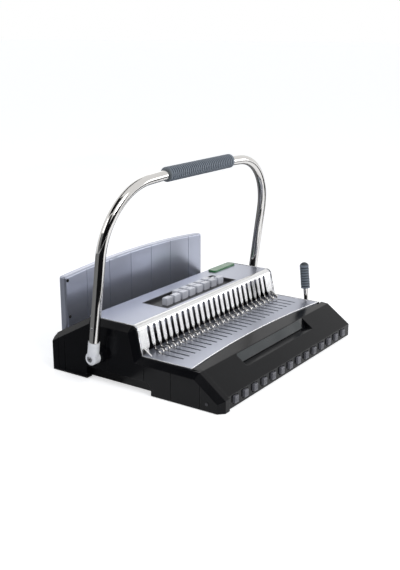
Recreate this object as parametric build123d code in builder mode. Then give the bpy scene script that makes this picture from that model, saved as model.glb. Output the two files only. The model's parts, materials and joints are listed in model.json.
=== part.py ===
from build123d import *
from math import asin, atan, cos, pi, radians, sin, sqrt, tan
import os

os.makedirs("parts", exist_ok=True)

# A comb punching and binding machine with a swinging loop handle.
# Millimetres. X runs across the machine, +Y to its back, +Z up.
# The origin is under the middle, on the table.

# The rake's pitch is the standard one of plastic combs, 9/16 inch, and it sets the width of the machine
comb_pitch = 14.2875
comb_count = 24
comb_half = comb_count * comb_pitch / 2

# Casing
end_margin = 17.05
side_thickness = 11.5
deck_half = comb_half + end_margin
half_width = deck_half + side_thickness
front_length = 144.0
rear_length = 165.0
depth = front_length + rear_length
front_y = -depth / 2
rear_y = depth / 2
table_gap = 1.0
wall = 2.5
sheet = 2.0
skin = 3.0
bevel = 8.5
fit = 0.3
press_gap = 0.02
running_gap = 0.06

# Silver decks, with the rake's sloping face between them
deck_z = 96.5
lower_z = 52.8
incline_foot_y = front_y + front_length
incline_angle = 12.5
deck_rear_y = incline_foot_y + 97.0
deck_corner_r = 9.0
plate_y = incline_foot_y + 17.5
plate_depth = 2.2
plate_ledge = 5.0
ledge_drop = 14.0
deck_front_mid_y = front_y + 70.5
deck_front_bow = 12.5

# Nose at the front
nose_step = 3.5
nose_front_y = front_y + nose_step
nose_fold_y = front_y + 44.3
nose_fold_z = lower_z - 2.8
nose_back_z = lower_z - 0.2
nose_foot_z = 20.6
nose_overlap = 4.0
nose_seam = 1.0
nose_side_end_y = front_y + 56.3
recess_x0 = -98.0
recess_x1 = 105.0
recess_back_y = front_y + 37.0
recess_floor_z = nose_fold_z - 15.0
recess_panel_x1 = recess_x1 - 13.0
recess_panel_thickness = 1.2
recess_panel_margin = 0.8

# Side panels
panel_slope_top_y = deck_rear_y - 4.5
panel_slope_low_y = rear_y - 4.0
panel_rear_z = 52.0
panel_slope_low_z = panel_rear_z + 6.7
panel_rear_r = 6.0
cap_fold_y = front_y + 43.0
cap_fold_z = lower_z - 1.6
cap_foot_z = nose_foot_z - 1.1
cap_back_y = nose_side_end_y + 0.7
cap_inner_x = -deck_half + 7.5
grip_cut_front_y = incline_foot_y - 23.0
grip_cut_rear_y = deck_rear_y
grip_cut_z = 20.0
grip_cut_r = 12.0
panel_rim = 12.0
groove_width = 1.0
groove_depth = 0.7
groove_margin = 2.0
panel_grooves = (
    rear_y - 12.2,
    rear_y - 24.9,
    deck_rear_y - 40.5,
    incline_foot_y - 10.5,
    incline_foot_y - 57.8,
    front_y + 36.9,
)

# Base pan
pan_z = 2.5
pan_wall_z = 22.0
pan_front_y = front_y + 14.5
pan_rear_y = rear_y - 2.0
foot_r = 10.0
foot_x = deck_half - 23.5
foot_front_y = pan_front_y + 15.0
foot_rear_y = pan_rear_y - 22.5

# Rake, hooks and their slots
comb_plate_half = deck_half - 1.8
comb_slot_width = 6.2
comb_slot_top_z = deck_z - 5.5
comb_tip_z = lower_z + 7.7
comb_tip_width = 3.6
comb_taper = 5.0
gusset_x = comb_half + 8.55
gusset_thickness = 2.5
gusset_reach = 12.0
end_strip_width = 14.7
hook_slot_width = 3.2
hook_slot_back_y = incline_foot_y - 9.0
hook_slot_front_y = incline_foot_y - 55.0
hook_thickness = 2.0
hook_centre_y = incline_foot_y - 15.5
hook_centre_z = lower_z + 3.4
hook_outer_r = 5.0
hook_inner_r = 2.8
hook_base_front_y = hook_centre_y - hook_outer_r
hook_mouth_drop = 5.0

# Punch mechanism, behind the rake
pivot_y = incline_foot_y + 67.7
pivot_z = 45.0
shaft_r = 5.0
pinion_module = 1.25
pinion_teeth = 16
pinion_x = comb_half - 21.45
pinion_width = 12.0
pressure_angle = 25.0
backlash = 0.2
pinion_r = pinion_module * pinion_teeth / 2
punch_z = 67.0
beam_y1 = pivot_y - 22.0
beam_thickness = 6.0
beam_low_z = pivot_z - pinion_r - 10.0
beam_top_z = punch_z + 7.0
beam_half = comb_half + 4.55
rack_back_y = pivot_y + 6.5
pin_width = 7.8
pin_height = 2.8
pin_hole_gap = 0.1
slot_y0 = deck_rear_y + fit
slot_width = 4.6
slot_y1 = slot_y0 + slot_width
guide_y0 = slot_y0 - 8.8
pin_tip_y = slot_y0 - 1.3
die_y1 = slot_y1 + 4.8
die_low_z = punch_z - 13.0
paper_stop_z = punch_z - 5.0
die_top_z = deck_z - 8.5

# Handle
handle_tilt = 7.7
handle_half = half_width + 18.6
handle_corner_r = 100.0
handle_reach = 255.4
handle_bow_r = 2450.0
handle_tube_r = 7.5
grip_half = 85.0
grip_centre_x = 4.0
grip_r = 11.2
grip_groove_r = 10.0
grip_rib_pitch = 5.0
grip_groove_share = 0.4
sleeve_r = handle_tube_r + 1.1
sleeve_top = 25.5
sleeve_foot = 2.0
hub_r = 9.6
hub_edge = 2.4
hub_x0 = handle_half - sleeve_r
hub_x1 = handle_half + 7.5
tube_seat = 10.5
boss_r = 11.5
boss_face_x = hub_x0 - fit
hub_end_wall = 4.6
shaft_end_x = hub_x1 - hub_end_wall
screw_thread_r = 2.5
screw_sink_r = 4.6
screw_sink = 2.6
screw_top_gap = 0.4
screw_key_r = 2.0
screw_play = 0.1

# Comb opening lever
lever_grip_r = 7.9
lever_side_gap = 0.4
lever_x = half_width + lever_side_gap + lever_grip_r
lever_y = incline_foot_y - 57.0
lever_tilt = 6.0
lever_rod_r = 3.9
lever_hub_r = 8.0
lever_hub_end_x = lever_x + 4.4
lever_grip_low = 49.5
lever_grip_length = 45.5
lever_grip_rib = 4.6
lever_grip_ribs = 8
lever_grip_groove = 1.0
lever_cap_height = 5.5
lever_bore_short = 8.0
lever_shaft_r = 4.0
lever_shaft_end_x = lever_x + 3.5
gear_module = 1.5
gear_teeth = 30
gear_r = gear_module * gear_teeth / 2
gear_x = comb_half - 0.45
gear_width = 5.0
gear_hub_wall = 3.0
carriage_top_z = lower_z - sheet - 0.4
carriage_thickness = 2.6
carriage_y0 = hook_centre_y - 8.0
carriage_y1 = hook_centre_y + 8.0
carriage_half = comb_half + 4.55
rack_back_z = carriage_top_z - carriage_thickness - 1.8
gear_pitch_z = rack_back_z - 3 * gear_module
lever_z = gear_pitch_z - gear_r

# Selector keys and their tray
tray_x0 = -96.0
tray_x1 = 98.0
tray_y0 = incline_foot_y + 23.0
tray_y1 = tray_y0 + 49.0
tray_floor_z = deck_z - 5.0
tray_wall = 1.5
tray_gap = 0.1
tray_rim = 0.3
key_pitch = 20.65
key_first_x = -65.7
key_front_y = tray_y0 + 22.5
key_rear_y = key_front_y + 11.5
key_width = 15.0
key_depth = 9.6
key_top_z = deck_z + 6.5
key_low_z = deck_z - 14.5
key_travel = 4.0
key_edge = 0.8

# Selector pulls
knob_pitch = 25.88
knob_first_x = -162.1
knob_count = 14
knob_z = 12.2
knob_width = 9.0
knob_height = 10.0
knob_front_y = front_y + 0.2
pocket_width = 13.0
pocket_height = 12.6
pocket_depth = 5.0
knob_bar_back_y = nose_front_y + 8.0
knob_rib = 1.0
knob_rib_height = 7.2
knob_rib_depth = 0.8
stem_size = 5.0
stem_end_y = knob_bar_back_y + 8.0

# Rear cover
cover_half = deck_half - 6.5
cover_thickness = 14.0
cover_end_r = 5.0
cover_top_r = 3.0
cover_line_pitch = 0.3 * cover_half
cover_line_count = 6
cover_line_x = 3.4
cover_y0 = rear_y - 0.8 - cover_thickness
cover_low_z = panel_rear_z - 8.0
cover_side_z = 144.5
cover_mid_z = 153.3
cover_key_gap = 2.7
cover_boss_r = 6.5
cover_pivot_y = die_y1 + cover_boss_r + 0.8
cover_pivot_z = key_top_z + cover_key_gap - (cover_y0 - cover_pivot_y)
cover_arm_x0 = cover_half - 7.0
cover_arm_x1 = cover_half - 0.5
cover_arm_foot = 14.0
cover_pin_r = 3.0
cover_pin_end_x = half_width - 4.0
trough_thickness = 2.5
trough_gap = 1.0

# Screws
screw_left_y = front_y + 25.3
screw_right_y = lever_y - 18.0
screw_z = 11.8
screw_r = 2.4
screw_head = 0.8

# Chip drawer
drawer_half = deck_half - 40.5
drawer_length = 52.5
drawer_y0 = pan_rear_y - drawer_length
drawer_z0 = pan_z + sheet + 0.5
drawer_z1 = drawer_z0 + 31.0
drawer_lip = 1.5
drawer_grip_half = 30.0
drawer_grip_height = 6.0


def finish(builder, name):
    builder.part.label = name
    export_step(builder.part, f"parts/{name}.step")


def prism(points, x0, x1, mode=Mode.ADD):
    """A polygon in Y and Z, drawn out along X."""
    with BuildSketch(Plane.YZ.offset(x0)) as profile:
        with BuildLine():
            Polyline(*points, close=True)
        make_face()
    extrude(profile.sketch, amount=x1 - x0, mode=mode)


def block(x0, x1, y0, y1, z0, z1, mode=Mode.ADD):
    """A box given by its six faces."""
    with BuildSketch(Plane.XY.offset(z0)) as base:
        with Locations(((x0 + x1) / 2, (y0 + y1) / 2)):
            Rectangle(x1 - x0, y1 - y0)
    extrude(base.sketch, amount=z1 - z0, mode=mode)


def cylinder_x(y, z, radius, x0, x1, mode=Mode.ADD):
    """A round bar along X."""
    with BuildSketch(Plane.YZ.offset(x0)) as disc:
        with Locations((y, z)):
            Circle(radius)
    extrude(disc.sketch, amount=x1 - x0, mode=mode)


def incline_y(z, depth_in=0.0):
    """The sloping comb face, at a height and a depth under its skin."""
    slant = radians(incline_angle)
    return incline_foot_y + (z - lower_z) * tan(slant) + depth_in / cos(slant)


def deck_body(depth_in, back_y, low_z, x0, x1, mode=Mode.ADD):
    """All that lies deeper than depth_in under the skin of the upper deck."""
    top = deck_z - depth_in
    corner = (incline_y(top, depth_in), top)
    with BuildSketch(Plane.YZ.offset(x0)) as region:
        with BuildLine():
            Polyline((back_y, low_z), (back_y, top), corner, (incline_y(low_z, depth_in), low_z), close=True)
        make_face()
        fillet(region.vertices().sort_by_distance(corner)[0], radius=deck_corner_r - depth_in)
    extrude(region.sketch, amount=x1 - x0, mode=mode)


def comb_positions():
    return [(k - (comb_count - 1) / 2) * comb_pitch for k in range(comb_count)]


def deck_front_arc(gap=0.0):
    """Three points of the bowed line where the lower deck meets the nose."""
    return (
        (-deck_half, deck_front_mid_y - deck_front_bow - gap),
        (0, deck_front_mid_y - gap),
        (deck_half, deck_front_mid_y - deck_front_bow - gap),
    )


# Involute gearing: a tooth flank is given by its distance from the tooth's middle line
def flank_half_angle(radius, pitch_radius, module):
    """Half the angle that a tooth takes up at this radius."""
    base_r = pitch_radius * cos(radians(pressure_angle))
    pitch_half = (pi * module / 2 - backlash) / (2 * pitch_radius)
    at_pitch = tan(radians(pressure_angle)) - radians(pressure_angle)
    if radius <= base_r:
        return pitch_half + at_pitch
    roll = sqrt((radius / base_r) ** 2 - 1)
    return pitch_half + at_pitch - (roll - atan(roll))


def gear_points(y, z, pitch_radius, module, first_angle, count, closing):
    """The outline of count teeth, the first one's middle at first_angle from +Y."""
    root_r = pitch_radius - 1.25 * module
    tip_r = pitch_radius + module
    base_r = pitch_radius * cos(radians(pressure_angle))
    low_r = max(root_r, base_r)
    radii = [low_r, (low_r + tip_r) / 2, tip_r]
    if low_r > root_r:
        radii.insert(0, root_r)
    points = []
    step = 2 * module / (2 * pitch_radius) * pi
    for k in range(count):
        middle = radians(first_angle) + k * step
        for radius in radii:
            angle = middle - flank_half_angle(radius, pitch_radius, module)
            points.append((y + radius * cos(angle), z + radius * sin(angle)))
        for radius in reversed(radii):
            angle = middle + flank_half_angle(radius, pitch_radius, module)
            points.append((y + radius * cos(angle), z + radius * sin(angle)))
    return points + closing


def rack_points(y0, y1, pitch_z, body_z, module, phase_y, tooth_side):
    """A straight rack between y0 and y1. tooth_side is +1 for teeth that point up."""
    pitch = pi * module
    slope = tan(radians(pressure_angle))
    tip = pitch_z + tooth_side * module
    root = pitch_z - tooth_side * 1.25 * module
    half_at_pitch = pitch / 4
    points = [(y0, body_z), (y0, root)]
    first = int((y0 - phase_y) / pitch) - 1
    for k in range(first, first + int((y1 - y0) / pitch) + 4):
        middle = phase_y + (k + 0.5) * pitch
        foot = half_at_pitch + 1.25 * module * slope
        head = half_at_pitch - module * slope
        if middle - foot < y0 or middle + foot > y1:
            continue
        points += [(middle - foot, root), (middle - head, tip), (middle + head, tip), (middle + foot, root)]
    return points + [(y1, root), (y1, body_z)]


# Side panels
slope_points = [
    (rear_y, table_gap),
    (rear_y, panel_rear_z),
    (panel_slope_low_y, panel_slope_low_z),
    (panel_slope_top_y, deck_z),
    (incline_y(deck_z), deck_z),
    (incline_foot_y, lower_z),
]
left_points = slope_points + [(cap_fold_y, cap_fold_z), (front_y, cap_foot_z), (front_y, table_gap)]
right_points = slope_points + [(nose_side_end_y + fit, lower_z), (nose_side_end_y + fit, table_gap)]


def panel_outline(points, x0, x1, inset=0.0, mode=Mode.ADD):
    """The side of the machine with its carrying cut-out, drawn out along X."""
    with BuildSketch(Plane.YZ.offset(x0)) as outline:
        with BuildLine():
            Polyline(*points, close=True)
        make_face()
        fillet(outline.vertices().sort_by_distance((incline_y(deck_z), deck_z))[0], radius=deck_corner_r)
        fillet(outline.vertices().sort_by_distance((rear_y, panel_rear_z))[0], radius=panel_rear_r)
        cut_middle = (grip_cut_front_y + grip_cut_rear_y) / 2
        with Locations((cut_middle, grip_cut_z / 2)):
            Rectangle(grip_cut_rear_y - grip_cut_front_y, grip_cut_z, mode=Mode.SUBTRACT)
        fillet(outline.vertices().sort_by_distance((grip_cut_front_y, grip_cut_z))[0], radius=grip_cut_r)
        if inset > 0:
            offset(amount=-inset, kind=Kind.INTERSECTION, mode=Mode.REPLACE)
    extrude(outline.sketch, amount=x1 - x0, mode=mode)


def is_bevelled(edge):
    """True for the outer edges of a side panel that carry the wide bevel."""
    middle = edge @ 0.5
    on_top = middle.Z > grip_cut_z + bevel / 2 and middle.Y < panel_slope_low_y - bevel / 2
    on_front = middle.Y < (front_y + grip_cut_front_y) / 2 and middle.Z > table_gap + fit
    return on_top or on_front


def side_panel(points, side):
    """One side panel. side is -1 on the left and +1 on the right."""
    with BuildPart() as panel:
        panel_outline(points, side * deck_half, side * half_width)
        outer = panel.faces().filter_by(Axis.X).sort_by(Axis.X)[0 if side < 0 else -1]
        chamfer([edge for edge in outer.edges() if is_bevelled(edge)], length=bevel)
        inner_x = side * deck_half
        panel_outline(points, inner_x, side * (half_width - skin), inset=panel_rim, mode=Mode.SUBTRACT)
        for y in panel_grooves:
            if y < points[-1][0] + panel_rim:
                continue
            low = (grip_cut_z if grip_cut_front_y < y < grip_cut_rear_y else table_gap) + groove_margin
            high = (lower_z if y < incline_foot_y else deck_z) - groove_margin
            ends = sorted((side * (half_width - groove_depth), side * (half_width + 1)))
            block(*ends, y - groove_width / 2, y + groove_width / 2, low, high, mode=Mode.SUBTRACT)
        cylinder_x(pivot_y, pivot_z, boss_r, inner_x, side * boss_face_x)
        cylinder_x(lever_y, lever_z, lever_hub_r, inner_x, side * (half_width - 1))
        cylinder_x(cover_pivot_y, cover_pivot_z, 2 * cover_pin_r, inner_x, side * (half_width - 1))
        cylinder_x(pivot_y, pivot_z, shaft_r + running_gap, inner_x, side * boss_face_x, mode=Mode.SUBTRACT)
        pin_hole_r = cover_pin_r + press_gap
        pin_hole_x = side * cover_pin_end_x
        cylinder_x(cover_pivot_y, cover_pivot_z, pin_hole_r, inner_x, pin_hole_x, mode=Mode.SUBTRACT)
        lever_hole_x = side * (half_width - skin if side < 0 else half_width + 1)
        cylinder_x(lever_y, lever_z, lever_shaft_r + running_gap, inner_x, lever_hole_x, mode=Mode.SUBTRACT)
        if side < 0:
            cap = [(cap_back_y, lower_z), (cap_fold_y, cap_fold_z)]
            cap += [(front_y, cap_foot_z), (front_y, table_gap)]
            cap_inside = [(front_y + skin, table_gap), (front_y + skin, cap_foot_z - skin / 2)]
            cap_inside += [(cap_fold_y + skin / 3, cap_fold_z - 1.2 * skin), (cap_back_y, lower_z - skin)]
            prism(cap + cap_inside, -deck_half, cap_inner_x)
    return panel


left_side_panel = side_panel(left_points, -1)
finish(left_side_panel, "left_side_panel")
right_side_panel = side_panel(right_points, 1)
finish(right_side_panel, "right_side_panel")

# Base pan with its drawer opening at the back
with BuildPart() as base_pan:
    block(-deck_half, deck_half, pan_front_y, pan_rear_y, pan_z, pan_z + sheet)
    for side in (-1, 1):
        edge = sorted((side * deck_half, side * (deck_half - sheet)))
        block(*edge, pan_front_y, pan_rear_y, pan_z, pan_wall_z)
    block(-deck_half, deck_half, pan_rear_y - sheet, pan_rear_y, pan_z, cover_low_z - 1)
    doorway = drawer_half + drawer_lip + 0.5
    doorway_y0 = pan_rear_y - 2 * sheet
    block(-doorway, doorway, doorway_y0, rear_y, pan_z + sheet, drawer_z1 + 2, mode=Mode.SUBTRACT)
    for side in (-1, 1):
        edge = sorted((side * (deck_half + 1), side * (deck_half - 2 * sheet)))
        cylinder_x(lever_y, lever_z, lever_shaft_r + 1, *edge, mode=Mode.SUBTRACT)
finish(base_pan, "base_pan")

with BuildPart() as rubber_feet:
    with BuildSketch(Plane.XY):
        with Locations(*[(x, y) for x in (-foot_x, foot_x) for y in (foot_front_y, foot_rear_y)]):
            Circle(foot_r)
    extrude(amount=pan_z)
finish(rubber_feet, "rubber_feet")

# Upper deck: the flat top with the key opening, and the rebated ends that the comb plate sits in
with BuildPart() as upper_deck:
    deck_body(0, deck_rear_y, lower_z + 1, -deck_half, deck_half)
    deck_body(plate_depth + sheet, deck_rear_y + 1, lower_z, -deck_half, deck_half, mode=Mode.SUBTRACT)
    ledge_y = plate_y + plate_ledge
    block(-deck_half, deck_half, ledge_y, deck_rear_y - sheet, lower_z, deck_z - sheet, mode=Mode.SUBTRACT)
    block(-comb_plate_half - fit, comb_plate_half + fit, incline_foot_y - 20, plate_y, lower_z, deck_z + 1,
          mode=Mode.SUBTRACT)
    ledge_z = deck_z - ledge_drop
    deck_body(plate_depth, ledge_y, ledge_z, -comb_plate_half - fit, comb_plate_half + fit)
    deck_body(plate_depth + sheet, ledge_y + 1, ledge_z - 1, -comb_plate_half - fit, comb_plate_half + fit,
              mode=Mode.SUBTRACT)
    block(-deck_half, deck_half, deck_rear_y - sheet, deck_rear_y, die_top_z + fit, deck_z)
    block(tray_x0, tray_x1, tray_y0, tray_y1, deck_z - 3, deck_z + 1, mode=Mode.SUBTRACT)
finish(upper_deck, "upper_deck")

# Lower deck with a slot for every hook and a bowed front edge
with BuildPart() as lower_deck:
    with BuildSketch(Plane.XY.offset(lower_z - sheet)):
        with BuildLine():
            front_arc = ThreePointArc(*deck_front_arc())
            back_y = incline_foot_y + 8.5
            Polyline(front_arc @ 1, (deck_half, back_y), (-deck_half, back_y), front_arc @ 0)
        make_face()
        slot_middle = (hook_slot_back_y + hook_slot_front_y) / 2
        with Locations(*[(x, slot_middle) for x in comb_positions()]):
            Rectangle(hook_slot_width, hook_slot_back_y - hook_slot_front_y, mode=Mode.SUBTRACT)
    extrude(amount=sheet)
finish(lower_deck, "lower_deck")

# Comb plate: a bent plate, slotted into fingers with tapered tips
with BuildPart() as comb_plate:
    deck_body(0, deck_rear_y, comb_tip_z, -comb_plate_half, comb_plate_half)
    deck_body(plate_depth - 0.2, deck_rear_y + 1, comb_tip_z - 1, -comb_plate_half, comb_plate_half,
              mode=Mode.SUBTRACT)
    block(-half_width, half_width, plate_y - fit, deck_rear_y + 1, comb_tip_z - 1, deck_z + 1,
          mode=Mode.SUBTRACT)
    with BuildSketch(Plane.XZ) as comb_slots:
        half_slot = comb_slot_width / 2
        half_mouth = (comb_pitch - comb_tip_width) / 2
        round_z = comb_slot_top_z - half_slot
        taper_z = comb_tip_z + comb_taper
        for x in comb_positions():
            with BuildLine():
                corners = [(x - half_slot, round_z), (x - half_slot, taper_z)]
                corners += [(x - half_mouth, comb_tip_z - 1), (x + half_mouth, comb_tip_z - 1)]
                corners += [(x + half_slot, taper_z), (x + half_slot, round_z)]
                Polyline(*corners)
                ThreePointArc(corners[0], (x, comb_slot_top_z), corners[-1])
            make_face()
    extrude(amount=40, both=True, mode=Mode.SUBTRACT)
    foot_z = lower_z + 0.2
    gusset_z = comb_tip_z + 2
    strip_z = comb_tip_z + 8
    gusset = [(incline_y(gusset_z) + 0.5, gusset_z), (incline_y(lower_z) + 0.5, foot_z)]
    gusset += [(incline_foot_y - gusset_reach, foot_z)]
    strip = [(incline_y(strip_z), strip_z), (incline_y(lower_z), foot_z)]
    strip += [(incline_y(lower_z) + 2, foot_z), (incline_y(strip_z) + 1.5, strip_z)]
    for side in (-1, 1):
        prism(gusset, *sorted((side * gusset_x, side * (gusset_x + gusset_thickness))))
        prism(strip, *sorted((side * (comb_plate_half - end_strip_width), side * comb_plate_half)))
finish(comb_plate, "comb_plate")

# Nose: a thin shell with a finger recess and a bar that carries the pulls
slope_rate = (nose_fold_y - nose_front_y) / (nose_fold_z - nose_foot_z)
floor_y = nose_fold_y - (nose_fold_z - recess_floor_z) * slope_rate
wall_top = (nose_fold_y - 0.5, nose_fold_z - 0.36)
with BuildPart() as nose_panel:
    overlap_y = deck_front_mid_y + nose_overlap
    outer_line = [(overlap_y, nose_back_z), (nose_fold_y, nose_fold_z), (nose_front_y, nose_foot_z),
                  (nose_front_y, table_gap)]
    inner_line = [(nose_front_y + wall, table_gap), (nose_front_y + wall, nose_foot_z - wall / 2),
                  (nose_fold_y + wall / 2, nose_fold_z - 1.2 * wall),
                  (overlap_y, nose_back_z - wall)]
    prism(outer_line + inner_line, cap_inner_x, half_width)
    seam_floor = [(y + nose_seam, z - nose_seam) for y, z in reversed(outer_line)]
    end_points = outer_line[1:] + [(nose_side_end_y, table_gap), (nose_side_end_y, nose_fold_z + 1)]
    prism(end_points, half_width - wall, half_width)
    raised_z = pan_z + sheet + fit
    raised_points = [(nose_front_y, raised_z), (nose_side_end_y, raised_z)]
    raised_points += [(nose_side_end_y, nose_fold_z + 1)]
    prism(outer_line[1:3] + raised_points, cap_inner_x, cap_inner_x + wall)
    block(cap_inner_x, half_width - wall, nose_front_y, knob_bar_back_y, table_gap + 2, nose_foot_z - 1)
    backing = [(nose_fold_y + wall, nose_fold_z), (recess_back_y + wall, recess_floor_z - wall),
               (floor_y - 1.2, recess_floor_z - wall), (floor_y, recess_floor_z), (nose_fold_y, nose_fold_z)]
    prism(backing, recess_x0 - wall, recess_x1 + wall)
    notch = [wall_top, (recess_back_y, recess_floor_z + 1), (floor_y, recess_floor_z),
             (floor_y - 8, nose_fold_z), (wall_top[0] - 3, nose_fold_z + 4)]
    prism(notch, recess_x0, recess_x1, mode=Mode.SUBTRACT)
    prism(outer_line + seam_floor, cap_inner_x, cap_inner_x + nose_seam, mode=Mode.SUBTRACT)
    with BuildSketch(Plane.XY.offset(nose_back_z - 3 * wall)):
        with BuildLine():
            cut_arc = ThreePointArc(*deck_front_arc(gap=fit))
            Polyline(cut_arc @ 1, (deck_half, nose_side_end_y), (half_width + 1, nose_side_end_y),
                     (half_width + 1, 0), (-half_width, 0), (-half_width, (cut_arc @ 0).Y), cut_arc @ 0)
        make_face()
    extrude(amount=5 * wall, mode=Mode.SUBTRACT)
    knob_places = [(knob_first_x + k * knob_pitch, knob_z) for k in range(knob_count)]
    with BuildSketch(Plane.XZ.offset(-nose_front_y)):
        with Locations(*knob_places):
            Rectangle(pocket_width, pocket_height)
    extrude(amount=-pocket_depth, mode=Mode.SUBTRACT)
    with BuildSketch(Plane.XZ.offset(-nose_front_y)):
        with Locations(*knob_places):
            Rectangle(stem_size + 2 * fit, stem_size + 2 * fit)
    extrude(amount=-(stem_end_y - nose_front_y), mode=Mode.SUBTRACT)
finish(nose_panel, "nose_panel")

# Grey panel on the back wall of the recess
along = Vector(recess_back_y - wall_top[0], recess_floor_z + 1 - wall_top[1]).normalized()
outward = Vector(along.Y, -along.X)
wall_length = sqrt((recess_back_y - wall_top[0]) ** 2 + (recess_floor_z + 1 - wall_top[1]) ** 2)
with BuildPart() as recess_panel:
    corner = Vector(*wall_top)
    low = corner + along * (wall_length - recess_panel_margin)
    high = corner + along * recess_panel_margin
    thick = outward * recess_panel_thickness
    points = [(p.X, p.Y) for p in (high, low, low + thick, high + thick)]
    prism(points, recess_x0 + fit, recess_panel_x1)
finish(recess_panel, "recess_panel")

# Selector pulls along the nose
for k, (x, z) in enumerate(knob_places):
    with BuildPart() as knob:
        head_back = nose_front_y + pocket_depth - fit
        block(x - knob_width / 2, x + knob_width / 2, knob_front_y, head_back, z - knob_height / 2,
              z + knob_height / 2)
        for rib in (-1, 0, 1):
            middle = x + rib * knob_width / 3.4
            rib_span = (middle - knob_rib / 2, middle + knob_rib / 2)
            block(*rib_span, knob_front_y - 1, knob_front_y + knob_rib_depth, z - knob_rib_height / 2,
                  z + knob_rib_height / 2, mode=Mode.SUBTRACT)
        block(x - stem_size / 2, x + stem_size / 2, head_back, stem_end_y, z - stem_size / 2,
              z + stem_size / 2)
    finish(knob, f"selector_pull_{k + 1:02d}")

# Key tray and its keys, eight in front and six behind
key_places = [(key_first_x + k * key_pitch, key_front_y) for k in range(8)]
key_places += [(key_first_x + k * key_pitch, key_rear_y) for k in range(2, 8)]
with BuildPart() as key_tray:
    tray_span = (tray_x0 + tray_gap, tray_x1 - tray_gap)
    block(*tray_span, tray_y0 + tray_gap, tray_y1 - tray_gap, tray_floor_z - sheet, deck_z + tray_rim)
    block(tray_x0 + tray_wall, tray_x1 - tray_wall, tray_y0 + tray_wall, tray_y1 - tray_wall, tray_floor_z,
          deck_z + 1, mode=Mode.SUBTRACT)
    with BuildSketch(Plane.XY.offset(tray_floor_z - sheet - 1)):
        with Locations(*key_places):
            Rectangle(key_width + 2 * fit, key_depth + 2 * fit)
    extrude(amount=sheet + 2, mode=Mode.SUBTRACT)
finish(key_tray, "key_tray")

for k, (x, y) in enumerate(key_places):
    with BuildPart() as key:
        drop = key_travel if k == len(key_places) - 1 else 0
        block(x - key_width / 2, x + key_width / 2, y - key_depth / 2, y + key_depth / 2, key_low_z - drop,
              key_top_z - drop)
        chamfer(key.faces().sort_by(Axis.Z)[-1].edges(), length=key_edge)
    finish(key, f"selector_key_{k + 1:02d}")

# Punch guide, die plate and the strip that the paper stands on
hole_size = (pin_width + 2 * pin_hole_gap, pin_height + 2 * pin_hole_gap)


def punched_plate(y0, y1, name, strip=False):
    with BuildPart() as plate:
        block(-deck_half, deck_half, y0, y1, die_low_z, die_top_z)
        with BuildSketch(Plane.XZ.offset(-y0 + 1)):
            with Locations(*[(x, punch_z) for x in comb_positions()]):
                Rectangle(*hole_size)
        extrude(amount=-(y1 - y0 + 2), mode=Mode.SUBTRACT)
        if strip:
            block(-deck_half, deck_half, slot_y0, slot_y1, die_low_z, paper_stop_z)
    finish(plate, name)


punched_plate(guide_y0, slot_y0, "punch_guide")
punched_plate(slot_y1, die_y1, "die_plate", strip=True)

with BuildPart() as punch_pins:
    with BuildSketch(Plane.XZ.offset(-beam_y1)):
        with Locations(*[(x, punch_z) for x in comb_positions()]):
            Rectangle(pin_width, pin_height)
    extrude(amount=-(pin_tip_y - beam_y1))
finish(punch_pins, "punch_pins")

# Punch beam: an upright web with a toothed arm under each pinion
with BuildPart() as punch_beam:
    block(-beam_half, beam_half, beam_y1 - beam_thickness, beam_y1, beam_low_z, beam_top_z)
    for side in (-1, 1):
        arm = sorted((side * pinion_x - pinion_width / 2, side * pinion_x + pinion_width / 2))
        pitch_z = pivot_z - pinion_r
        teeth = rack_points(beam_y1 - 1, rack_back_y, pitch_z, beam_low_z, pinion_module, pivot_y, 1)
        prism(teeth, *arm)
finish(punch_beam, "punch_beam")

# Drive shaft with its two pinions
with BuildPart() as drive_shaft:
    cylinder_x(pivot_y, pivot_z, shaft_r, -shaft_end_x, shaft_end_x)
finish(drive_shaft, "drive_shaft")

with BuildPart() as drive_pinions:
    for side in (-1, 1):
        span = sorted((side * pinion_x - pinion_width / 2, side * pinion_x + pinion_width / 2))
        prism(gear_points(pivot_y, pivot_z, pinion_r, pinion_module, -90, pinion_teeth, []), *span)
        cylinder_x(pivot_y, pivot_z, shaft_r + press_gap, *span, mode=Mode.SUBTRACT)
finish(drive_pinions, "drive_pinions")

# Loop handle, drawn in its own tilted plane through the pivot
tilt = radians(handle_tilt)
handle_plane = Plane(origin=(0, pivot_y, pivot_z), x_dir=(1, 0, 0), z_dir=(0, -cos(tilt), -sin(tilt)))
corner_x = handle_half - handle_corner_r
bow_centre = handle_reach - handle_bow_r
corner_v = bow_centre + sqrt((handle_bow_r - handle_corner_r) ** 2 - corner_x ** 2)
bend_top = (corner_x * handle_bow_r / (handle_bow_r - handle_corner_r),
            bow_centre + (corner_v - bow_centre) * handle_bow_r / (handle_bow_r - handle_corner_r))
bend_reach = handle_corner_r * cos(radians(45))
bend_middle = (corner_x + bend_reach, corner_v + bend_reach)
bend_low = (handle_half, corner_v)
with BuildPart() as handle_bar:
    with BuildLine(handle_plane) as handle_path:
        left_leg = Line((-handle_half, tube_seat), (-handle_half, corner_v))
        left_top = (-bend_top[0], bend_top[1])
        ThreePointArc(left_leg @ 1, (-bend_middle[0], bend_middle[1]), left_top)
        ThreePointArc(left_top, (0, handle_reach), bend_top)
        ThreePointArc(bend_top, bend_middle, bend_low)
        Line(bend_low, (handle_half, tube_seat))
    with BuildSketch(Plane(origin=handle_path.line @ 0, z_dir=handle_path.line % 0)):
        Circle(handle_tube_r)
    sweep(path=handle_path.line)
finish(handle_bar, "handle_bar")

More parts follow.
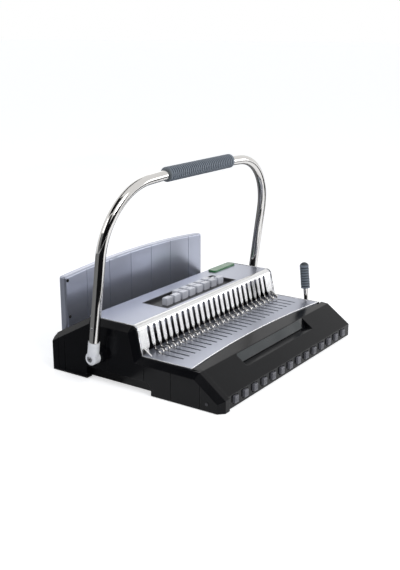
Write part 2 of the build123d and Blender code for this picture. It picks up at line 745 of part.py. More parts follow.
# Ribbed grip, split lengthways along the bowed tube as a straight sleeve
grip_v = handle_reach - grip_half ** 2 / (2 * handle_bow_r) / 2
with BuildPart() as handle_grip:
    rib_count = int(2 * (grip_half - 1) / grip_rib_pitch)
    with BuildSketch(handle_plane) as grip_profile:
        with BuildLine():
            start = grip_centre_x - rib_count * grip_rib_pitch / 2
            ends = (grip_centre_x - grip_half, grip_centre_x + grip_half)
            ridge = [(ends[0], grip_v), (ends[0], grip_v + grip_r), (start, grip_v + grip_r)]
            for k in range(rib_count):
                left = start + k * grip_rib_pitch
                right = left + grip_groove_share * grip_rib_pitch
                ridge += [(left, grip_v + grip_groove_r), (right, grip_v + grip_groove_r)]
                ridge += [(right, grip_v + grip_r), (left + grip_rib_pitch, grip_v + grip_r)]
            Polyline(*ridge, (ends[1], grip_v + grip_r), (ends[1], grip_v), close=True)
        make_face()
    revolve(axis=Axis(handle_plane.from_local_coords((0, grip_v, 0)), (1, 0, 0)))
    with BuildLine(handle_plane) as bore_path:
        ThreePointArc((-bend_top[0], bend_top[1]), (0, handle_reach), bend_top)
    with BuildSketch(Plane(origin=bore_path.line @ 0, z_dir=bore_path.line % 0)):
        Circle(handle_tube_r + press_gap)
    sweep(path=bore_path.line, mode=Mode.SUBTRACT)
finish(handle_grip, "handle_grip")


def handle_socket(side, name):
    """A rounded hub on the shaft's end with a sleeve for the tube."""
    with BuildPart() as socket:
        cylinder_x(pivot_y, pivot_z, hub_r, *sorted((side * hub_x0, side * hub_x1)))
        chamfer(socket.edges().filter_by(GeomType.CIRCLE), length=hub_edge)
        with BuildSketch(Plane(origin=handle_plane.from_local_coords((side * handle_half, sleeve_foot, 0)),
                               z_dir=handle_plane.y_dir)):
            Circle(sleeve_r)
        extrude(amount=sleeve_top - sleeve_foot)
        with BuildSketch(Plane(origin=handle_plane.from_local_coords((side * handle_half, tube_seat, 0)),
                               z_dir=handle_plane.y_dir)):
            Circle(handle_tube_r + press_gap)
        extrude(amount=sleeve_top, mode=Mode.SUBTRACT)
        shaft_span = (side * (hub_x0 - 1), side * shaft_end_x)
        cylinder_x(pivot_y, pivot_z, shaft_r + press_gap, *shaft_span, mode=Mode.SUBTRACT)
        sink_span = (side * (hub_x1 - screw_sink), side * (hub_x1 + 1))
        cylinder_x(pivot_y, pivot_z, screw_thread_r + screw_play, side * shaft_end_x, sink_span[0],
                   mode=Mode.SUBTRACT)
        cylinder_x(pivot_y, pivot_z, screw_sink_r, *sink_span, mode=Mode.SUBTRACT)
    finish(socket, name)


handle_socket(-1, "left_handle_socket")
handle_socket(1, "right_handle_socket")

with BuildPart() as hub_screws:
    for side in (-1, 1):
        cylinder_x(pivot_y, pivot_z, screw_thread_r, side * shaft_end_x, side * (hub_x1 - screw_sink))
        cylinder_x(pivot_y, pivot_z, screw_sink_r - 2 * screw_play, side * (hub_x1 - screw_sink),
                   side * (hub_x1 - screw_top_gap))
        with BuildSketch(Plane.YZ.offset(side * (hub_x1 + 1))) as socket_key:
            with Locations((pivot_y, pivot_z)):
                RegularPolygon(screw_key_r, 6)
        extrude(socket_key.sketch, amount=-side * screw_sink, mode=Mode.SUBTRACT)
finish(hub_screws, "hub_screws")

# Hook carriage: a flat bar with two toothed arms, and the hooks that stand on it
rack_front_y = lever_y - 5.0
rack_rear_y = carriage_y0 + 2.0
with BuildPart() as hook_carriage:
    carriage_low_z = carriage_top_z - carriage_thickness
    block(-carriage_half, carriage_half, carriage_y0, carriage_y1, carriage_low_z, carriage_top_z)
    for side in (-1, 1):
        arm = sorted((side * gear_x - gear_width / 2, side * gear_x + gear_width / 2))
        teeth = rack_points(rack_front_y, rack_rear_y, gear_pitch_z, rack_back_z, gear_module, lever_y, -1)
        prism(teeth, *arm)
        block(*arm, carriage_y0, carriage_y1, gear_pitch_z + 1.25 * gear_module, carriage_low_z)
finish(hook_carriage, "hook_carriage")

with BuildPart() as comb_hooks:
    for x in comb_positions():
        with BuildSketch(Plane.YZ.offset(x - hook_thickness / 2)):
            with Locations((hook_centre_y, hook_centre_z)):
                Circle(hook_outer_r)
                Circle(hook_inner_r, mode=Mode.SUBTRACT)
            with BuildLine():
                Polyline((hook_centre_y, hook_centre_z),
                         (hook_centre_y - 2.4 * hook_mouth_drop, hook_centre_z - hook_mouth_drop),
                         (hook_centre_y, hook_centre_z - 2.4 * hook_mouth_drop), close=True)
            make_face(mode=Mode.SUBTRACT)
            foot_middle = (hook_centre_y + hook_outer_r + hook_base_front_y) / 2
            foot_size = hook_centre_y + hook_outer_r - hook_base_front_y
            foot_top_z = hook_centre_z - 3.0
            with Locations((foot_middle, (carriage_top_z + foot_top_z) / 2)):
                Rectangle(foot_size, foot_top_z - carriage_top_z)
        extrude(amount=hook_thickness)
finish(comb_hooks, "comb_hooks")

# Lever that opens the comb: shaft, toothed sectors, rod and grip
with BuildPart() as lever_shaft:
    cylinder_x(lever_y, lever_z, lever_shaft_r, -half_width + skin + fit, lever_shaft_end_x)
finish(lever_shaft, "lever_shaft")

with BuildPart() as lever_gears:
    for side in (-1, 1):
        span = sorted((side * gear_x - gear_width / 2, side * gear_x + gear_width / 2))
        hub_reach = lever_shaft_r + gear_hub_wall
        closing = [(lever_y - hub_reach, lever_z - 2), (lever_y - 2, lever_z - hub_reach),
                   (lever_y + hub_reach, lever_z - lever_shaft_r)]
        step_angle = 360 / gear_teeth
        prism(gear_points(lever_y, lever_z, gear_r, gear_module, 90 - 8 * step_angle, 10, closing), *span)
        cylinder_x(lever_y, lever_z, lever_shaft_r + press_gap, *span, mode=Mode.SUBTRACT)
finish(lever_gears, "lever_gears")

lean = radians(lever_tilt)
lever_plane = Plane(origin=(lever_x, lever_y, lever_z), x_dir=(1, 0, 0), z_dir=(0, -cos(lean), sin(lean)))
with BuildPart() as lever_rod:
    cylinder_x(lever_y, lever_z, lever_hub_r, half_width + lever_side_gap, lever_hub_end_x)
    with BuildSketch(Plane(origin=(lever_x, lever_y, lever_z), z_dir=lever_plane.y_dir)):
        Circle(lever_rod_r)
    extrude(amount=lever_grip_low + lever_grip_length - lever_bore_short)
    bore_r = lever_shaft_r + press_gap
    cylinder_x(lever_y, lever_z, bore_r, half_width, lever_shaft_end_x, mode=Mode.SUBTRACT)
finish(lever_rod, "lever_rod")

with BuildPart() as lever_grip:
    with BuildSketch(lever_plane):
        with BuildLine():
            groove_r = lever_grip_r - lever_grip_groove
            side_line = [(0, lever_grip_low)]
            for k in range(lever_grip_ribs):
                low = lever_grip_low + k * lever_grip_rib
                high = low + (1 - grip_groove_share) * lever_grip_rib
                side_line += [(lever_grip_r, low), (lever_grip_r, high)]
                side_line += [(groove_r, high), (groove_r, low + lever_grip_rib)]
            side_line.append((lever_grip_r, side_line[-1][1]))
            grip_top = lever_grip_low + lever_grip_length
            side_line.append((lever_grip_r, grip_top - lever_cap_height))
            Polyline(*side_line)
            cap_r = (lever_grip_r ** 2 + lever_cap_height ** 2) / (2 * lever_cap_height)
            cap_angle = asin(lever_grip_r / cap_r) / 2
            shoulder = (cap_r * sin(cap_angle), grip_top - cap_r * (1 - cos(cap_angle)))
            ThreePointArc(side_line[-1], shoulder, (0, grip_top))
            Line((0, grip_top), side_line[0])
        make_face()
    revolve(axis=Axis(lever_plane.origin, lever_plane.y_dir))
    with BuildSketch(Plane(origin=lever_plane.origin, z_dir=lever_plane.y_dir)):
        Circle(lever_rod_r + press_gap)
    extrude(amount=lever_grip_low + lever_grip_length - lever_bore_short, mode=Mode.SUBTRACT)
finish(lever_grip, "lever_grip")

# Rear cover: a hollow panel with an arched top edge and an arm at each end
with BuildPart() as rear_cover:
    with BuildSketch(Plane.XZ.offset(-cover_y0)):
        with BuildLine():
            corners = [(-cover_half, cover_side_z), (cover_half, cover_side_z)]
            ThreePointArc(corners[0], (0, cover_mid_z), corners[1])
            Polyline(corners[1], (cover_half, cover_low_z), (-cover_half, cover_low_z), corners[0])
        make_face()
    extrude(amount=-cover_thickness)
    upright = rear_cover.edges().filter_by(Axis.Z)
    fillet(upright, radius=cover_end_r)
    fillet(rear_cover.faces().sort_by(Axis.Z)[-1].edges(), radius=cover_top_r)
    for k in range(cover_line_count):
        x = cover_line_x + (k - (cover_line_count - 1) / 2) * cover_line_pitch
        block(x - groove_width / 2, x + groove_width / 2, cover_y0 - 1, cover_y0 + groove_depth, cover_low_z,
              cover_mid_z + 1, mode=Mode.SUBTRACT)
    with BuildSketch(Plane.XZ.offset(-cover_y0 - wall)):
        with Locations((0, (cover_low_z + cover_side_z) / 2 - wall - 4)):
            Rectangle(2 * (cover_half - wall), cover_side_z - cover_low_z)
    extrude(amount=-(cover_thickness - 2 * wall), mode=Mode.SUBTRACT)
    for side in (-1, 1):
        arm_points = [(cover_pivot_y - cover_pin_r, cover_pivot_z - cover_boss_r),
                      (cover_pivot_y + cover_pin_r, cover_pivot_z + cover_boss_r),
                      (cover_y0 + 1, cover_low_z + cover_arm_foot), (cover_y0 + 1, cover_low_z)]
        arm = sorted((side * cover_arm_x0, side * cover_arm_x1))
        prism(arm_points, *arm)
        cylinder_x(cover_pivot_y, cover_pivot_z, cover_boss_r, *arm)
        cylinder_x(cover_pivot_y, cover_pivot_z, cover_pin_r + running_gap, *arm, mode=Mode.SUBTRACT)
finish(rear_cover, "rear_cover")

with BuildPart() as cover_hinge_pins:
    for side in (-1, 1):
        cylinder_x(cover_pivot_y, cover_pivot_z, cover_pin_r, side * cover_arm_x0, side * cover_pin_end_x)
finish(cover_hinge_pins, "cover_hinge_pins")

# Sloping floor between the die and the cover
with BuildPart() as rear_trough:
    trough_half = cover_arm_x0 - trough_gap
    fall_top_z = die_top_z - 4 * trough_gap
    fall_foot = (cover_y0 - 4 * trough_gap, cover_low_z + 12)
    fall = [(die_y1, fall_top_z), fall_foot, (fall_foot[0], fall_foot[1] - trough_thickness)]
    prism(fall + [(die_y1, fall_top_z - trough_thickness)], -trough_half, trough_half)
finish(rear_trough, "rear_trough")

# Chip drawer
with BuildPart() as chip_drawer:
    block(-drawer_half, drawer_half, drawer_y0, pan_rear_y, drawer_z0, drawer_z1)
    inside_half = drawer_half - sheet
    block(-inside_half, inside_half, drawer_y0 + sheet, pan_rear_y - sheet, drawer_z0 + sheet,
          drawer_z1 + 1, mode=Mode.SUBTRACT)
    block(-drawer_half - drawer_lip, drawer_half + drawer_lip, pan_rear_y - sheet, rear_y, drawer_z0,
          drawer_z1 + drawer_lip)
    grip_top_z = drawer_z1 - 2
    grip_low_z = grip_top_z - drawer_grip_height
    block(-drawer_grip_half, drawer_grip_half, rear_y - 1.5, rear_y + 1, grip_low_z, grip_top_z,
          mode=Mode.SUBTRACT)
finish(chip_drawer, "chip_drawer")

# One screw low on each side
with BuildPart() as case_screws:
    cylinder_x(screw_left_y, screw_z, screw_r, -half_width, -half_width - screw_head)
    cylinder_x(screw_right_y, screw_z, screw_r, half_width, half_width + screw_head)
finish(case_screws, "case_screws")
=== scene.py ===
import json
from math import cos, pi, radians, sin

import bmesh
import bpy
from mathutils import Matrix, Vector


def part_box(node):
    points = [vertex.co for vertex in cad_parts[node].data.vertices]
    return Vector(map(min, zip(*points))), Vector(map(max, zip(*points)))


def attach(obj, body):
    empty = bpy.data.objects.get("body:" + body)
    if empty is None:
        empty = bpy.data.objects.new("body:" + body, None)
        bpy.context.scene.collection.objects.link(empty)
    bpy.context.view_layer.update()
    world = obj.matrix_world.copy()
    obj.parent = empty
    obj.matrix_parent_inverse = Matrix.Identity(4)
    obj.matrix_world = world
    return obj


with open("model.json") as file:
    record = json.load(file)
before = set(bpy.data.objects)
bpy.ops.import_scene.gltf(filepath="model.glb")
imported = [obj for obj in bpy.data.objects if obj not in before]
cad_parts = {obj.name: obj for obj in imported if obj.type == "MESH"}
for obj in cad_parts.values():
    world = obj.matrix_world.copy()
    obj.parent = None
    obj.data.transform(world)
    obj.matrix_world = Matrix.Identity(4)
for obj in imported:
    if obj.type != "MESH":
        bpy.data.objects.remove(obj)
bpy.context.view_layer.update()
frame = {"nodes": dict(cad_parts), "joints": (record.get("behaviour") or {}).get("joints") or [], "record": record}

nodes = frame["nodes"]
slot_of = {part["node"]: part["material_slot"] for part in frame["record"]["subparts"]}
pivot_of = {joint["name"]: joint["pos_m"] for joint in frame["joints"] if "pos_m" in joint}


# Materials

class Shader:
    """A short way to build a node material."""

    def __init__(self, name, base, roughness, metallic=0.0, specular=0.5, coat=0.0, coat_roughness=0.1):
        self.material = bpy.data.materials.new(name)
        self.material.use_nodes = True
        self.tree = self.material.node_tree
        self.tree.nodes.clear()
        out = self.add("ShaderNodeOutputMaterial")
        self.bsdf = self.add("ShaderNodeBsdfPrincipled")
        self.link(self.bsdf.outputs["BSDF"], out.inputs["Surface"])
        self.set("Base Color", (*base, 1.0))
        self.set("Roughness", roughness)
        self.set("Metallic", metallic)
        self.set("Specular IOR Level", specular)
        self.set("Coat Weight", coat)
        self.set("Coat Roughness", coat_roughness)
        self.place = self.add("ShaderNodeTexCoord").outputs["Object"]

    def set(self, socket, value):
        self.bsdf.inputs[socket].default_value = value

    def add(self, kind, **values):
        node = self.tree.nodes.new(kind)
        for key, value in values.items():
            setattr(node, key, value)
        return node

    def link(self, source, target):
        self.tree.links.new(source, target)

    def stretched(self, scale):
        mapping = self.add("ShaderNodeMapping")
        mapping.inputs["Scale"].default_value = scale
        self.link(self.place, mapping.inputs["Vector"])
        return mapping.outputs["Vector"]

    def noise(self, scale, detail, stretch=None):
        node = self.add("ShaderNodeTexNoise")
        node.inputs["Scale"].default_value = scale
        node.inputs["Detail"].default_value = detail
        self.link(self.stretched(stretch) if stretch else self.place, node.inputs["Vector"])
        return node.outputs["Fac"]

    def span(self, source, low, high, from_low=0.3, from_high=0.7):
        """A value carried over from one range to another."""
        node = self.add("ShaderNodeMapRange")
        node.inputs["From Min"].default_value = from_low
        node.inputs["From Max"].default_value = from_high
        node.inputs["To Min"].default_value = low
        node.inputs["To Max"].default_value = high
        self.link(source, node.inputs["Value"])
        return node.outputs["Result"]

    def tint(self, factor, low, high):
        """Base colour between two colours by a factor."""
        node = self.add("ShaderNodeMix", data_type="RGBA")
        node.inputs["A"].default_value = (*low, 1.0)
        node.inputs["B"].default_value = (*high, 1.0)
        self.link(factor, node.inputs["Factor"])
        self.link(node.outputs["Result"], self.bsdf.inputs["Base Color"])

    def rough(self, factor, low, high):
        """Roughness between two values by a factor."""
        self.link(self.span(factor, low, high), self.bsdf.inputs["Roughness"])

    def relief(self, height, distance, edge):
        """Bump from a height, over edges softened by a small radius where one is given."""
        bump = self.add("ShaderNodeBump")
        bump.inputs["Strength"].default_value = 1.0
        bump.inputs["Distance"].default_value = distance
        self.link(height, bump.inputs["Height"])
        if edge:
            bevel = self.add("ShaderNodeBevel", samples=4)
            bevel.inputs["Radius"].default_value = edge
            self.link(bevel.outputs["Normal"], bump.inputs["Normal"])
        self.link(bump.outputs["Normal"], self.bsdf.inputs["Normal"])


def shade(base, factor):
    """A colour made darker or lighter."""
    return tuple(min(1.0, c * factor) for c in base)


def moulded(name, base, roughness, edge=0.0012, grain=0.000004, coat=0.0, specular=0.4):
    """Moulded plastic or rubber with a fine eroded grain."""
    cloud_scale, wear_scale, grain_scale = 45, 25, 1200
    m = Shader(name, base, roughness, specular=specular, coat=coat, coat_roughness=0.2)
    m.tint(m.span(m.noise(cloud_scale, 3), 0, 1), shade(base, 0.86), shade(base, 1.14))
    m.rough(m.noise(wear_scale, 1), roughness - 0.04, roughness + 0.05)
    m.relief(m.noise(grain_scale, 1), grain, edge)
    return m.material


def metal(name, base, roughness, stretch=None, grain=0.00001, edge=0.0003):
    """Bare metal, with a grain drawn out along one direction where stretch is given."""
    streak_scale = 900
    m = Shader(name, base, roughness, metallic=1.0)
    streak = m.noise(streak_scale, 3, stretch)
    m.tint(m.span(streak, 0, 1), shade(base, 0.93), shade(base, 1.05))
    m.rough(streak, roughness * 0.8, roughness * 1.25)
    m.relief(streak, grain, edge)
    return m.material


def metallic_paint(name, base, roughness):
    """Silver paint, a little cloudy."""
    cloud_scale = 14
    m = Shader(name, base, roughness, metallic=0.78, coat=0.12, coat_roughness=0.25)
    m.tint(m.span(m.noise(cloud_scale, 2), 0, 1), shade(base, 0.95), shade(base, 1.05))
    return m.material


def ribbed_rubber_painted_shade(name, base, roughness, centre, direction, groove_r):
    """Rubber turned about an axis, with painted shade darkening the grooves between its ribs and the crests
    painted lighter.
    """
    groove_depth = 0.0006
    m = Shader(name, base, roughness, specular=0.4)
    arm = m.add("ShaderNodeVectorMath", operation="SUBTRACT")
    arm.inputs[1].default_value = centre
    m.link(m.place, arm.inputs[0])
    cross = m.add("ShaderNodeVectorMath", operation="CROSS_PRODUCT")
    cross.inputs[1].default_value = direction.normalized()
    m.link(arm.outputs["Vector"], cross.inputs[0])
    radius = m.add("ShaderNodeVectorMath", operation="LENGTH")
    m.link(cross.outputs["Vector"], radius.inputs[0])
    # Painted shade: the colour runs from dark in the grooves to lighter on the crests, by distance from the axis.
    height = m.span(radius.outputs["Value"], 0, 1, groove_r, groove_r + groove_depth)
    m.tint(height, shade(base, 0.3), shade(base, 1.15))
    return m.material


silver = (0.36, 0.38, 0.455)
materials = {
    "black_plastic": moulded("black_plastic_gloss", (0.0035, 0.0037, 0.0048), 0.2, specular=0.14),
    "black_steel": moulded("black_powder_coat", (0.005, 0.005, 0.006), 0.5, specular=0.2),
    "feet_rubber": moulded("feet_rubber_matte", (0.012, 0.012, 0.012), 0.8),
    "silver_paint": metallic_paint("silver_metallic_paint", silver, 0.3),
    "chrome": metal("chrome_plate", (0.66, 0.645, 0.625), 0.08, grain=0.000001, edge=0.0009),
    "grip_rubber": moulded("grip_rubber_grain", (0.15, 0.175, 0.22), 0.45, edge=0.0),
    "socket_silver": moulded("socket_pale_paint", (0.86, 0.87, 0.92), 0.25, edge=0.0016, coat=0.3),
    "tray_plastic": moulded("tray_dark_plastic", (0.04, 0.04, 0.043), 0.42, specular=0.4),
    "recess_grey": moulded("recess_smoked_panel", (0.02, 0.026, 0.029), 0.3, edge=0.0, specular=0.12),
    "key_silver": moulded("key_pearl_plastic", (0.62, 0.63, 0.69), 0.3, edge=0.0009, coat=0.3),
    "pull_grey": moulded("pull_grey_plastic", (0.17, 0.17, 0.19), 0.38, edge=0.0005),
    "machined_steel": metal("machined_steel", (0.4, 0.4, 0.42), 0.32, stretch=(0.05, 1, 1), grain=0.000006),
    "screw_steel": metal("screw_zinc_plate", (0.42, 0.42, 0.44), 0.3, grain=0.000004),
}


def dress(name, material):
    """One material over a whole CAD node."""
    nodes[name].data.materials.clear()
    nodes[name].data.materials.append(material)


def middle_of(name):
    low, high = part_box(name)
    return (low + high) / 2


def dress_grip(name, direction, groove_r):
    """Ribbed rubber about the axis of a grip, with painted shade in the grooves and the crests painted lighter."""
    colour = (0.15, 0.175, 0.21)
    dress(name, ribbed_rubber_painted_shade(name + "_ribbed_rubber_painted_shade", colour, 0.5, middle_of(name), direction, groove_r))


for name in nodes:
    dress(name, materials[slot_of[name]])

# Pieces that differ from the rest of their slot
dress_grip("handle_grip", Vector((1, 0, 0)), 0.0101)
dress_grip("lever_grip", middle_of("lever_grip") - Vector(pivot_of["lever_swing"]), 0.0070)
# The case screws are darkened to near black, a painted shade standing for the shade of the holes they sit in.
dress("case_screws", metal("case_screw_painted_hole_shade", (0.05, 0.05, 0.055), 0.35, grain=0.000004))
# The cover takes the same silver paint lightened by 1.22, painted light standing for the brighter light the cover
# catches.
dress("rear_cover", metallic_paint("cover_silver_painted_light", shade(silver, 1.22), 0.28))
dress("comb_plate", metal("comb_plate_nickel", (0.8, 0.8, 0.8), 0.2, grain=0.000001, edge=0.0009))


# Tools for the pieces that the scene adds

def add_piece(name, data, material, body):
    """A new piece that moves with a body."""
    data.materials.append(material)
    piece = bpy.data.objects.new(name, data)
    bpy.context.scene.collection.objects.link(piece)
    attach(piece, body)


def add_mesh(name, bm, material, body):
    mesh = bpy.data.meshes.new(name)
    bm.to_mesh(mesh)
    bm.free()
    add_piece(name, mesh, material, body)


def turned(name, profile, centre, axis, material, body, steps=40):
    """A piece turned on a lathe: pairs of radius and height along an axis, from its foot to its top."""
    bm = bmesh.new()
    turn = Vector((0, 0, 1)).rotation_difference(Vector(axis)).to_matrix().to_4x4()
    rings = []
    for radius, height in profile:
        ring = []
        for k in range(steps):
            angle = 2 * pi * k / steps
            ring.append(bm.verts.new((radius * cos(angle), radius * sin(angle), height)))
        rings.append(ring)
    for low, high in zip(rings, rings[1:]):
        for k in range(steps):
            bm.faces.new((low[k], low[(k + 1) % steps], high[(k + 1) % steps], high[k])).smooth = True
    bm.faces.new(list(reversed(rings[0])))
    bm.faces.new(rings[-1]).smooth = True
    bmesh.ops.transform(bm, matrix=Matrix.Translation(Vector(centre)) @ turn, verts=bm.verts)
    add_mesh(name, bm, material, body)


def dome(radius, height, rows=6):
    """The profile of a low rounded head."""
    angles = [pi / 2 * k / rows for k in range(rows)]
    return [(radius * cos(a), height * sin(a)) for a in angles] + [(radius * 0.04, height)]


def wire(name, lines, radius, material, body):
    """Thin round beads along lines of points."""
    curve = bpy.data.curves.new(name, "CURVE")
    curve.dimensions = "3D"
    curve.bevel_depth = radius
    curve.bevel_resolution = 3
    curve.use_fill_caps = True
    for line in lines:
        spline = curve.splines.new("POLY")
        spline.points.add(len(line) - 1)
        for point, place in zip(spline.points, line):
            point.co = (*place, 1.0)
    add_piece(name, curve, material, body)


def side_name(side):
    return "left" if side < 0 else "right"


# Pieces that the scene adds

deck_low, deck_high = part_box("upper_deck")
lower_low, lower_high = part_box("lower_deck")
deck_top = deck_high.z
lower_top = lower_high.z


def badge_plate():
    """Plain green plate on the deck, behind the keys."""
    green = moulded("badge_green_enamel", (0.035, 0.17, 0.055), 0.24, edge=0.0005, grain=0.00001, coat=0.2)
    middle_x, middle_y, long, wide, thick = 0.149, 0.0745, 0.066, 0.016, 0.0028
    corner_r, rim_r = 0.0045, 0.0006
    bm = bmesh.new()
    bmesh.ops.create_cube(bm, size=1.0)
    for v in bm.verts:
        x, y, z = v.co
        v.co = Vector((middle_x + x * long, middle_y + y * wide, deck_top + thick * (z + 0.5)))
    upright = [e for e in bm.edges if abs((e.verts[0].co - e.verts[1].co).z) > thick / 2]
    bmesh.ops.bevel(bm, geom=upright, offset=corner_r, segments=6, profile=0.5, affect="EDGES")
    rim = [e for e in bm.edges if all(v.co.z > deck_top + 0.9 * thick for v in e.verts)]
    bmesh.ops.bevel(bm, geom=rim, offset=rim_r, segments=2, profile=0.5, affect="EDGES")
    add_mesh("badge_plate", bm, green, "base")


def cover_buttons():
    """Two black buttons near the left end of the cover's face."""
    cover_face = 0.1397
    head = dome(0.0026, 0.0014)
    rubber = materials["feet_rubber"]
    for k, (x, z) in enumerate(((-0.1765, 0.1385), (-0.1745, 0.081))):
        place = (x, cover_face, z)
        turned(f"cover_button_{k + 1}", head, place, (0, -1, 0), rubber, "cover", steps=24)


def deck_edge_highlight():
    """A thin bright bead where the silver decks meet the black casing, a painted highlight standing for the light
    that the decks' edges catch.
    """
    # Painted highlight: a near-white polished bead along the deck edges.
    bead = metal("edge_highlight_bead", (0.9, 0.9, 0.92), 0.15, grain=0.000001, edge=0.0)
    radius = 0.0006
    rear_gap = 0.001
    incline_foot = -0.0105
    incline_slope = 0.2217
    corner_r = 0.009
    corner_y = incline_foot + (deck_top - lower_top) * incline_slope
    for side, x in ((-1, deck_low.x), (1, deck_high.x)):
        upper = [(x, deck_high.y - rear_gap, deck_top), (x, corner_y + 0.8 * corner_r, deck_top)]
        corner = [(x, corner_y + 0.22 * corner_r, deck_top - 0.2 * corner_r),
                  (x, corner_y - 0.17 * corner_r, deck_top - 0.8 * corner_r)]
        lower = [(x, incline_foot, lower_top), (x, lower_low.y, lower_top)]
        wire(f"deck_edge_highlight_{side_name(side)}", [upper + corner + lower], radius, bead, "base")
    front_bow = 0.0125
    steps = 24
    front = []
    for k in range(steps + 1):
        u = 2 * k / steps - 1
        front.append((u * lower_high.x, lower_low.y + front_bow * (1 - u * u), lower_top))
    wire("deck_edge_highlight_front", [front], radius, bead, "base")


def comb_feet():
    """The lower end of each finger of the rake, bent forward on to the deck between two hooks."""
    fingers, pitch, radius, reach = 23, 0.0142875, 0.0012, 0.0075
    tip_y, tip_z = -0.0088, 0.0625
    bed_z = lower_top + 1.05 * radius
    bend = [(0.0006, tip_z), (-0.0004, bed_z + 0.0028), (-0.0012, bed_z + 0.001), (-0.0028, bed_z),
            (-reach, bed_z)]
    feet = []
    for k in range(1, fingers + 1):
        x = (k - (fingers + 1) / 2) * pitch
        feet.append([(x, tip_y + y, z) for y, z in bend])
    wire("comb_feet", feet, radius, materials["chrome"], "base")


def leg_rivets():
    """A small bright head on the outer side of each leg of the handle."""
    tube_x, tube_r, sunk = 0.2186, 0.0075, 0.0004
    rivet_y, rivet_z = 0.0508, 0.0925
    head = dome(0.0022, 0.0013)
    steel = materials["screw_steel"]
    for side in (-1, 1):
        place = (side * (tube_x + tube_r - sunk), rivet_y, rivet_z)
        turned(f"leg_rivet_{side_name(side)}", head, place, (side, 0, 0), steel, "handle",
               steps=20)


def grip_rings():
    """A plain rim at each end of the loop handle's grip."""
    low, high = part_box("handle_grip")
    centre_y, centre_z = (low.y + high.y) / 2, (low.z + high.z) / 2
    outer = (high.y - low.y) / 2
    bore, shoulder = 0.72 * outer, 0.95 * outer
    width = 0.0022
    profile = [(bore, 0.0), (shoulder, 0.0), (outer, 0.2 * width), (outer, 0.8 * width), (shoulder, width),
               (bore, width)]
    rim = moulded("grip_rim_rubber", (0.16, 0.18, 0.2), 0.5, edge=0.0)
    for side, x in ((-1, low.x), (1, high.x)):
        place = (x - side * width * 0.9, centre_y, centre_z)
        turned(f"grip_ring_{side_name(side)}", profile, place, (side, 0, 0), rim, "handle")


badge_plate()
cover_buttons()
deck_edge_highlight()
comb_feet()
leg_rivets()
grip_rings()


# Floor and background

def seen_ray(tree):
    """1 for a ray of the camera, of gloss or of glass, and 0 for the light on matte surfaces."""
    path = tree.nodes.new("ShaderNodeLightPath")
    seen = path.outputs["Is Camera Ray"]
    for kind in ("Is Glossy Ray", "Is Transmission Ray"):
        either = tree.nodes.new("ShaderNodeMath")
        either.operation = "MAXIMUM"
        tree.links.new(seen, either.inputs[0])
        tree.links.new(path.outputs[kind], either.inputs[1])
        seen = either.outputs["Value"]
    return seen


def matte(name, colour, roughness, specular):
    material = bpy.data.materials.new(name)
    material.use_nodes = True
    bsdf = material.node_tree.nodes["Principled BSDF"]
    bsdf.inputs["Base Color"].default_value = (*colour, 1.0)
    bsdf.inputs["Roughness"].default_value = roughness
    bsdf.inputs["Specular IOR Level"].default_value = specular
    return material


def stage_piece(name, corners, material):
    """A flat sheet that belongs to the studio."""
    mesh = bpy.data.meshes.new(name)
    mesh.from_pydata(corners, [], [tuple(range(len(corners)))])
    mesh.materials.append(material)
    piece = bpy.data.objects.new(name, mesh)
    bpy.context.scene.collection.objects.link(piece)
    return piece


def plain_floor():
    """A pale matte floor that the camera sees lifted towards white."""
    reach, lift = 30.0, 0.56
    pale = matte("floor_pale", (0.86, 0.86, 0.87), 0.9, 0.1)
    tree = pale.node_tree
    bsdf = tree.nodes["Principled BSDF"]
    scale = tree.nodes.new("ShaderNodeMath")
    scale.operation = "MULTIPLY"
    scale.inputs[1].default_value = lift
    tree.links.new(seen_ray(tree), scale.inputs[0])
    bsdf.inputs["Emission Color"].default_value = (1, 1, 1, 1)
    tree.links.new(scale.outputs["Value"], bsdf.inputs["Emission Strength"])
    corners = [(-reach, -reach, 0), (reach, -reach, 0), (reach, reach, 0), (-reach, reach, 0)]
    stage_piece("floor", corners, pale)


def studio_world():
    """Soft light all round, and white to the camera, gloss and glass."""
    world = bpy.data.worlds.new("studio")
    bpy.context.scene.world = world
    world.use_nodes = True
    tree = world.node_tree
    soft = tree.nodes["Background"]
    soft.inputs["Color"].default_value = (0.93, 0.96, 1.0, 1)
    soft.inputs["Strength"].default_value = 0.5
    white = tree.nodes.new("ShaderNodeBackground")
    white.inputs["Color"].default_value = (1, 1, 1, 1)
    white.inputs["Strength"].default_value = 1.0
    mix = tree.nodes.new("ShaderNodeMixShader")
    tree.links.new(seen_ray(tree), mix.inputs["Fac"])
    tree.links.new(soft.outputs["Background"], mix.inputs[1])
    tree.links.new(white.outputs["Background"], mix.inputs[2])
    tree.links.new(mix.outputs["Shader"], tree.nodes["World Output"].inputs["Surface"])


plain_floor()
studio_world()


# Cards and lamps

def card(name, corners, colour):
    """A screen of the studio that only gloss shows."""
    screen = stage_piece(name, corners, matte(name + "_cloth", colour, 0.95, 0.0))
    screen.visible_camera = False
    screen.visible_diffuse = False
    screen.visible_shadow = False


def level_card(name, corners, height, colour):
    card(name, [(x, y, height) for x, y in corners], colour)


def upright_card(name, foot, high, colour):
    """A standing screen over a line of two points."""
    (x0, y0), (x1, y1) = foot
    card(name, [(x0, y0, 0.0), (x1, y1, 0.0), (x1, y1, high), (x0, y0, high)], colour)


def softbox(name, place, size, power):
    """A soft lamp that faces the middle of the object."""
    middle = Vector((0, 0, 0.08))
    light = bpy.data.lights.new(name, "AREA")
    light.shape = "RECTANGLE"
    light.size, light.size_y = size
    light.energy = power
    lamp = bpy.data.objects.new(name, light)
    lamp.location = place
    lamp.rotation_euler = (middle - Vector(place)).to_track_quat("-Z", "Y").to_euler()
    bpy.context.scene.collection.objects.link(lamp)


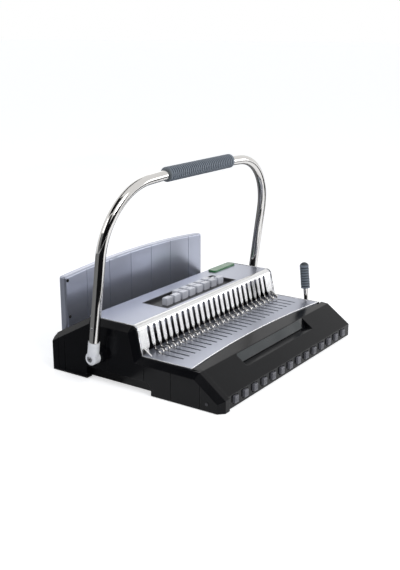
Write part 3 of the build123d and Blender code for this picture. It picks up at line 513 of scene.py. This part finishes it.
black_cloth = (0.01, 0.01, 0.011)
dim_cloth = (0.3, 0.3, 0.3)
black_height, dim_height, overhead = 0.004, 0.003, 1.9
floor_left = [(-0.1, -1.6), (-0.1, -0.22), (-0.3, -0.17), (-0.3, 0.03), (-1.7, 0.03), (-1.7, -1.6)]
floor_back = [(-1.7, 0.03), (1.7, 0.03), (1.7, 1.7), (-1.7, 1.7)]
floor_right = [(0.38, -0.75), (1.0, -0.75), (1.0, -0.27), (0.38, -0.27)]
overhead_left = [(-1.6, -0.45), (-0.5, -0.45), (-0.5, 0.7), (1.1, 0.7), (1.1, 1.5), (-1.6, 1.5)]
wall_back, wall_left, wall_corner, wall_right = (-1.5, 1.7), (-2.0, 0.03), (-2.0, -1.8), (0.45, -2.05)
level_card("card_floor_left", floor_left, black_height, black_cloth)
level_card("card_floor_back", floor_back, dim_height, dim_cloth)
level_card("card_floor_right", floor_right, black_height, black_cloth)
level_card("card_overhead", overhead_left, overhead, black_cloth)
upright_card("card_behind_camera_left", [wall_left, wall_corner], 2.2, black_cloth)
upright_card("card_behind_camera_right", [wall_corner, wall_right], 1.3, black_cloth)
upright_card("card_back_left", [wall_left, wall_back], 0.9, dim_cloth)

softbox("key", (-0.5, -1.5, 1.5), (0.9, 0.9), 15)
softbox("left", (-1.8, 0.7, 1.0), (0.6, 1.2), 5)
softbox("side", (1.35, -1.0, 0.35), (0.7, 0.5), 3)
softbox("back", (1.2, 1.1, 0.75), (0.7, 0.5), 0.8)


# Camera, as fitted to the photo

photo_height = 570
focal_pixels = 890
sensor = 36.0
degrees_down, degrees_right = 16.09, 55.61

camera = bpy.data.objects.new("camera", bpy.data.cameras.new("camera"))
camera.data.sensor_fit = "VERTICAL"
camera.data.sensor_height = sensor
camera.data.lens = focal_pixels / photo_height * sensor
camera.data.clip_start = 0.05
camera.location = (-1.1292, -0.7541, 0.5041)
camera.rotation_euler = (radians(90 - degrees_down), 0, -radians(degrees_right))
bpy.context.scene.collection.objects.link(camera)
bpy.context.scene.camera = camera
bpy.context.scene.view_settings.view_transform = "Standard"
